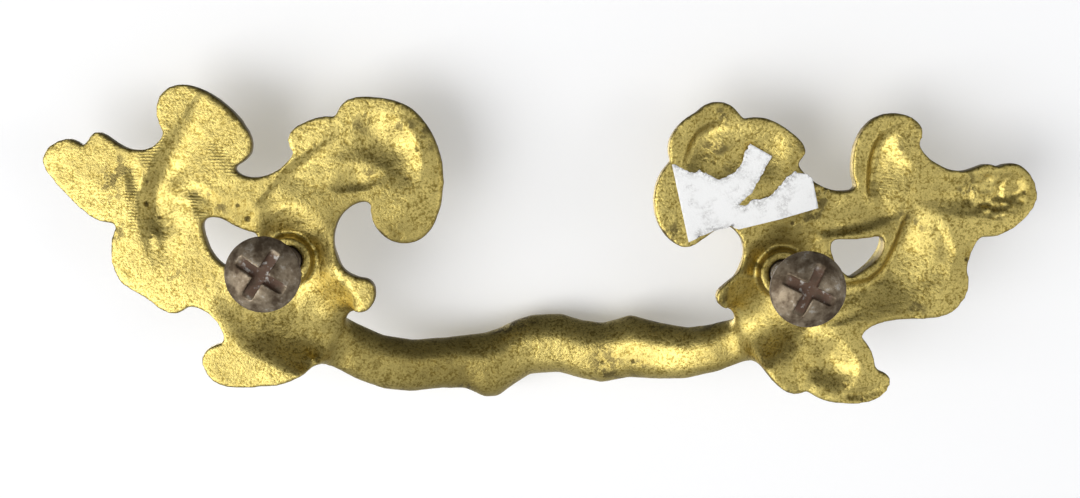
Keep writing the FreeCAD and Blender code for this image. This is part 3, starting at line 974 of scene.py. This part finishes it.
    def _mark(self, piece: bpy.types.Object) -> None:
        """Keep on the mesh how deep each point lies, where it is filed and where a side wall takes
        painted shade.

        Args:
            piece: The casting's object.
        """
        points = MeshTools.points(piece)
        back = points[:, 1]
        deep = np.clip(-back / self.full_tarnish_depth, 0.0, 1.0)
        MeshTools.keep(piece, "hollow_depth", deep * (back > -self.full_tarnish_depth))
        filed = np.zeros(len(points))
        for band in self.filed_bands:
            filed = np.maximum(filed, band.depth(points[:, 0] - POST_SPACING / 2, points[:, 2]))
        MeshTools.keep(piece, "file_marks", filed * smooth(back, -0.6, -0.15))
        # painted shade mask: steep side walls below the rim, darkened in the material in place of
        # their shade
        lean = np.abs(MeshTools.normals(piece)[:, 1])
        wall = (1.0 - smooth(lean, 0.25, 0.8)) * smooth(back, -3.2, -1.6)
        MeshTools.keep(piece, "side_wall_shade", wall)


@dataclass
class ScrewPair:
    """The two screws: worn truss heads with cross recesses, and threads on their shanks."""

    finish: ScrewFinish
    underside: float = 19.05
    tip: float = -6.35
    core_radius: float = 1.62
    crest_radius: float = 2.06
    pitch: float = 0.794
    steps_a_turn: int = 28
    thread_root: float = 0.05
    thread_rise: Triple = (0.0, 0.38, 0.76)
    tip_bare: float = 0.7
    neck_bare: float = 0.2
    neck: float = 0.15
    axis_gap: float = 0.01
    head_voxel: float = 0.14

    def build(self, node: bpy.types.Object) -> bpy.types.Object:
        """Make the screws.

        Args:
            node: The CAD screws.

        Returns:
            The dressed screws.
        """
        piece = MeshTools.copy_of(node, "threaded_screws")
        MeshTools.reskin(piece, self.head_voxel)
        self._thin_shanks(piece)
        self._cut_threads(piece)
        MeshTools.dress(piece, self.finish.material())
        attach(piece, "root")
        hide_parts("mounting_screws")
        LOG.info("screws: %d faces", len(piece.data.polygons))
        return piece

    def _thin_shanks(self, piece: bpy.types.Object) -> None:
        """Take the shanks down to the core of the thread and soften the heads.

        Args:
            piece: The screws' object.
        """
        points = MeshTools.points(piece)
        points = MeshTools.relax(piece, points, np.ones(len(points)), 1)
        middle = np.copysign(POST_SPACING / 2, points[:, 0])
        away = points[:, 0] - middle
        radius = np.maximum(np.hypot(away, points[:, 2]), self.axis_gap)
        below = (points[:, 1] < self.underside - self.neck) & (radius > self.axis_gap)
        factor = np.where(below, np.minimum(1.0, self.core_radius / radius), 1.0)
        points[:, 0] = middle + away * factor
        points[:, 2] *= factor
        MeshTools.move(piece, points)

    def _cut_threads(self, piece: bpy.types.Object) -> None:
        """Wind a thread round each shank.

        Args:
            piece: The screws' object.
        """
        work = bmesh.new()
        low, high = self.tip + self.tip_bare, self.underside - self.neck_bare
        turns = (high - low) / self.pitch - 1.0
        steps = int(turns * self.steps_a_turn)
        axis = Vector((0.0, 1.0, 0.0))
        root = self.core_radius - self.thread_root
        profile = tuple(zip((root, self.crest_radius, root), self.thread_rise))
        for side in Side:
            middle = side.value * POST_SPACING / 2
            corners = [
                work.verts.new(((middle + radius) * MM, (low + rise * self.pitch) * MM, 0.0))
                for radius, rise in profile
            ]
            edges = [work.edges.new(pair) for pair in zip(corners, corners[1:])]
            bmesh.ops.spin(
                work,
                geom=corners + edges,
                cent=Vector((middle * MM, 0.0, 0.0)),
                axis=axis,
                dvec=axis * (self.pitch * turns / steps * MM),
                angle=2.0 * math.pi * turns,
                steps=steps,
                use_merge=False,
                use_duplicate=False,
            )
        bmesh.ops.recalc_face_normals(work, faces=work.faces)
        work.from_mesh(piece.data)
        work.to_mesh(piece.data)
        work.free()
        piece.data.shade_smooth()


@dataclass
class PaperRemnant:
    """The torn paper on the left scroll: blank, sagging a little between the rims."""

    finish: PaperFinish
    cell: float = 0.45
    thickness: float = 0.1
    height: float = 0.13
    sag: float = 0.07
    fray: float = 0.28
    curl: float = 0.05
    on_line: float = 0.25
    torn_rounds: int = 6
    top_gap: float = 0.01
    cut_gap: float = 0.0001
    cut_edges: tuple[tuple[float, float, float, float], ...] = (
        (-23.3, 4.5, -42.9, 10.3),
        (-42.9, 10.3, -41.8, 14.8),
        (-20.3, 16.3, -23.3, 4.5),
        (-32.1, 19.8, -35.5, 18.0),
    )

    def build(self, node: bpy.types.Object) -> bpy.types.Object:
        """Make the paper.

        Args:
            node: The CAD paper.

        Returns:
            The dressed paper.
        """
        piece = MeshTools.copy_of(node, "torn_label")
        low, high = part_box("paper_label")
        work = bmesh.new()
        work.from_mesh(piece.data)
        floor = high.y - self.top_gap * MM
        lower = [face for face in work.faces if face.calc_center_median().y < floor]
        bmesh.ops.delete(work, geom=lower, context="FACES")
        bmesh.ops.dissolve_limit(work, angle_limit=0.01, verts=work.verts, edges=work.edges)
        for axis in (0, 2):
            normal = Vector([1.0 if i == axis else 0.0 for i in range(3)])
            cuts = int((high[axis] - low[axis]) / (self.cell * MM))
            for i in range(1, cuts):
                middle = low + normal * (i * self.cell * MM)
                geom = work.verts[:] + work.edges[:] + work.faces[:]
                bmesh.ops.bisect_plane(
                    work, geom=geom, plane_co=middle, plane_no=normal, dist=self.cut_gap * MM
                )
        bmesh.ops.triangulate(work, faces=work.faces)
        edge = np.array([1.0 if vert.is_boundary else 0.0 for vert in work.verts])
        work.to_mesh(piece.data)
        work.free()
        self._tear(piece, edge)
        thicken = piece.modifiers.new("thickness", "SOLIDIFY")
        thicken.thickness = self.thickness * MM
        thicken.offset = 0.0
        MeshTools.dress(piece, self.finish.material())
        piece.data.shade_smooth()
        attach(piece, "root")
        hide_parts("paper_label")
        LOG.info("paper: %d faces", len(piece.data.polygons))
        return piece

    def _tear(self, piece: bpy.types.Object, edge: np.ndarray) -> None:
        """Fray the torn edges and let the sheet sag.

        Args:
            piece: The paper's object.
            edge: 1 for the vertices of its border.
        """
        points = MeshTools.points(piece)
        torn = edge.copy()
        for x0, z0, x1, z1 in self.cut_edges:
            run = np.array((x1 - x0, z1 - z0))
            off = points[:, (0, 2)] - np.array((x0, z0))
            away = np.abs(off[:, 0] * run[1] - off[:, 1] * run[0]) / np.hypot(*run)
            torn = np.where(away < self.on_line, 0.0, torn)
        triple, follow = np.repeat(torn[:, None], 3, axis=1), np.ones(len(points))
        spread = MeshTools.relax(piece, triple, follow, self.torn_rounds)[:, 0]
        points[:, 0] += MeshTools.ripple(points, 0.5, 11.0) * self.fray * torn
        points[:, 2] += MeshTools.ripple(points, 0.5, 19.0) * self.fray * torn
        waves = MeshTools.ripple(points, 4.5, 5.0) * self.sag
        points[:, 1] = self.height + waves + torn * self.curl
        MeshTools.move(piece, points)
        MeshTools.keep(piece, "torn", np.clip(spread * 2.5, 0.0, 1.0))


@dataclass(frozen=True)
class Lamp:
    """A soft lamp aimed at the pull: its place and sides in metres and its power in watts."""

    name: str
    place: Triple
    sides: tuple[float, float]
    power: float

    def hang(self) -> None:
        """Put the lamp into the scene."""
        data = bpy.data.lights.new(self.name, "AREA")
        data.shape = "RECTANGLE"
        data.size, data.size_y = self.sides
        data.energy = self.power
        lamp = bpy.data.objects.new(self.name, data)
        lamp.location = self.place
        lamp.rotation_euler = Vector(self.place).to_track_quat("Z", "Y").to_euler()
        bpy.context.scene.collection.objects.link(lamp)


@dataclass
class Studio:
    """Camera, white sheet that the pull lies on and soft light.

    The camera's place and lens and the sheet's line of touch are in millimetres, the camera's turn
    and the sheet's lean in degrees.
    """

    camera_place: Triple = (0.25, 216.06, 22.71)
    camera_turn: Triple = (84.743, -1.58, 179.927)
    lens: float = 47.2
    sensor: float = 36.0
    clip_start: float = 0.01
    sheet_touch: tuple[float, float] = (-23.3, -15.0)
    sheet_lean: float = 13.0
    sheet_size: float = 1.6
    sheet_white: Colour = (0.8, 0.8, 0.8, 1.0)
    sky: Colour = (0.96, 0.97, 1.0, 1.0)
    sky_pale: float = 0.52
    sky_bright: float = 1.05
    sky_dim: float = 0.12
    bright_from: Range = (0.7, 1.0)
    dim_from: Range = (0.02, 0.6)
    sheet_lift: float = 0.2
    window: Lamp = Lamp("window", (0.5, 0.66, -0.26), (0.76, 0.55), 4.5)
    fill: Lamp = Lamp("fill", (-0.55, 0.55, -0.06), (0.3, 0.3), 0.6)
    front: Lamp = Lamp("front", (0.5, -0.6, 0.02), (0.6, 0.6), 4.0)

    def build(self) -> None:
        """Set up the studio."""
        self._camera()
        self._sheet()
        self._sky()
        for lamp in (self.window, self.fill, self.front):
            lamp.hang()
        bpy.context.scene.view_settings.view_transform = "Standard"
        LOG.info("studio ready")

    def _camera(self) -> None:
        """The camera that the pull was seen by."""
        data = bpy.data.cameras.new("camera")
        data.lens = self.lens
        data.sensor_width = self.sensor
        data.sensor_fit = "HORIZONTAL"
        data.clip_start = self.clip_start
        camera = bpy.data.objects.new("camera", data)
        camera.location = Vector(self.camera_place) * MM
        camera.rotation_euler = Euler([math.radians(turn) for turn in self.camera_turn])
        bpy.context.scene.collection.objects.link(camera)
        bpy.context.scene.camera = camera

    def _sheet(self) -> None:
        """White sheet against the front of the grip and the scrolls, clear from its other side."""
        mesh = bpy.data.meshes.new("sheet")
        work = bmesh.new()
        back, up = self.sheet_touch
        lean = Matrix.Rotation(-math.pi / 2 - math.radians(self.sheet_lean), 4, "X")
        turn = Matrix.Translation((0.0, back * MM, up * MM)) @ lean
        half = self.sheet_size / 2
        bmesh.ops.create_grid(work, x_segments=1, y_segments=1, size=half, matrix=turn)
        work.to_mesh(mesh)
        work.free()
        sheet = bpy.data.objects.new("sheet", mesh)
        bpy.context.scene.collection.objects.link(sheet)
        made = bpy.data.materials.new("white_sheet")
        s = Shader(made)
        white = s.node("ShaderNodeBsdfDiffuse", None, {"Color": self.sheet_white})
        glow = s.node("ShaderNodeEmission", None, {"Strength": s.seen() * self.sheet_lift})
        white = s.node("ShaderNodeAddShader", None, {0: white, 1: glow})
        clear = s.node("ShaderNodeBsdfTransparent")
        behind = s.node("ShaderNodeNewGeometry", output="Backfacing")
        surface = s.node("ShaderNodeMixShader", None, {0: behind, 1: white, 2: clear})
        s.node("ShaderNodeOutputMaterial", None, {"Surface": surface})
        mesh.materials.append(made)
        # from in front the sheet is clear, so the brass mirrors the sky there and not the sheet
        sheet.visible_shadow = False
        sheet.visible_glossy = False

    def _sky(self) -> None:
        """Pale light from all round, brighter towards the window and dim overhead."""
        world = bpy.data.worlds.new("sky")
        s = Shader(world)
        product, aim = {"operation": "DOT_PRODUCT"}, Vector(self.window.place).normalized()
        towards = s.node("ShaderNodeVectorMath", product, {0: s.place, 1: aim}, "Value")
        _, _, over = s.axes()
        level = self.sky_pale + towards.step(*self.bright_from) * (self.sky_bright - self.sky_pale)
        level = level - over.step(*self.dim_from) * (self.sky_pale - self.sky_dim)
        sky = s.node("ShaderNodeBackground", None, {"Color": self.sky, "Strength": level})
        s.node("ShaderNodeOutputWorld", None, {"Surface": sky})
        bpy.context.scene.world = world


def main() -> None:
    """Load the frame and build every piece."""
    logging.basicConfig(level=logging.INFO)
    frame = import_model()
    nodes = frame["nodes"]
    PullCasting(BrassFinish()).build(nodes["pull_casting"])
    ScrewPair(ScrewFinish()).build(nodes["mounting_screws"])
    PaperRemnant(PaperFinish()).build(nodes["paper_label"])
    Studio().build()


if __name__ == "__main__":
    main()
